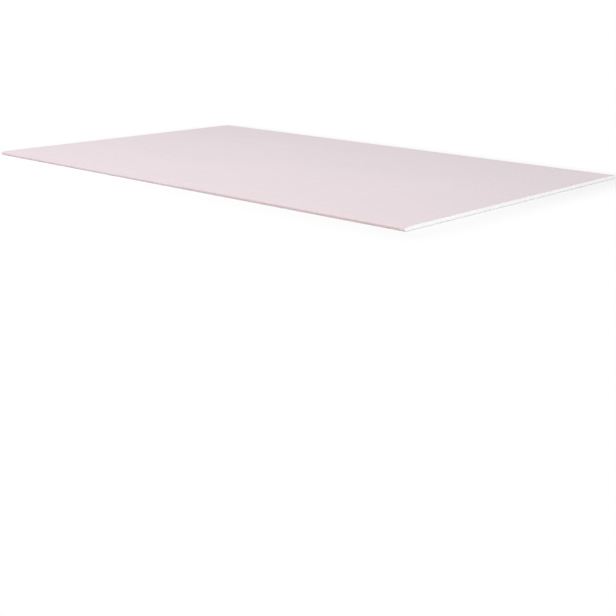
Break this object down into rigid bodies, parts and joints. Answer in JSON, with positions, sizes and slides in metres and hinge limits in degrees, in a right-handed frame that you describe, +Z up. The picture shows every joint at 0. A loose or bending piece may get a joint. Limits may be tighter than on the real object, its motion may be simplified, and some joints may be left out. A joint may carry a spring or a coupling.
{
  "type": "drywall sheet",
  "caption": "Fire-resistant drywall sheet: gypsum core, pink face paper wrapped round tapered half-round long edges, lapped back paper and bare sawn ends.",
  "frame": {"origin": "centre of the back face, on the surface that the sheet lies on", "axes": "+X along the length, +Y across the width, +Z up out of the pink face"},
  "size_m": [2, 1.25, 0.0125],
  "materials": {
    "gypsum": "matte white gypsum, sawn and slightly rough at the ends",
    "face_paper": "smooth matte pale pink paper",
    "back_paper": "plain matte grey-buff paper"
  },
  "bodies": {
    "root": {"gypsum_core": "gypsum", "face_paper": "face_paper", "back_paper": "back_paper"}
  },
  "joints": []
}
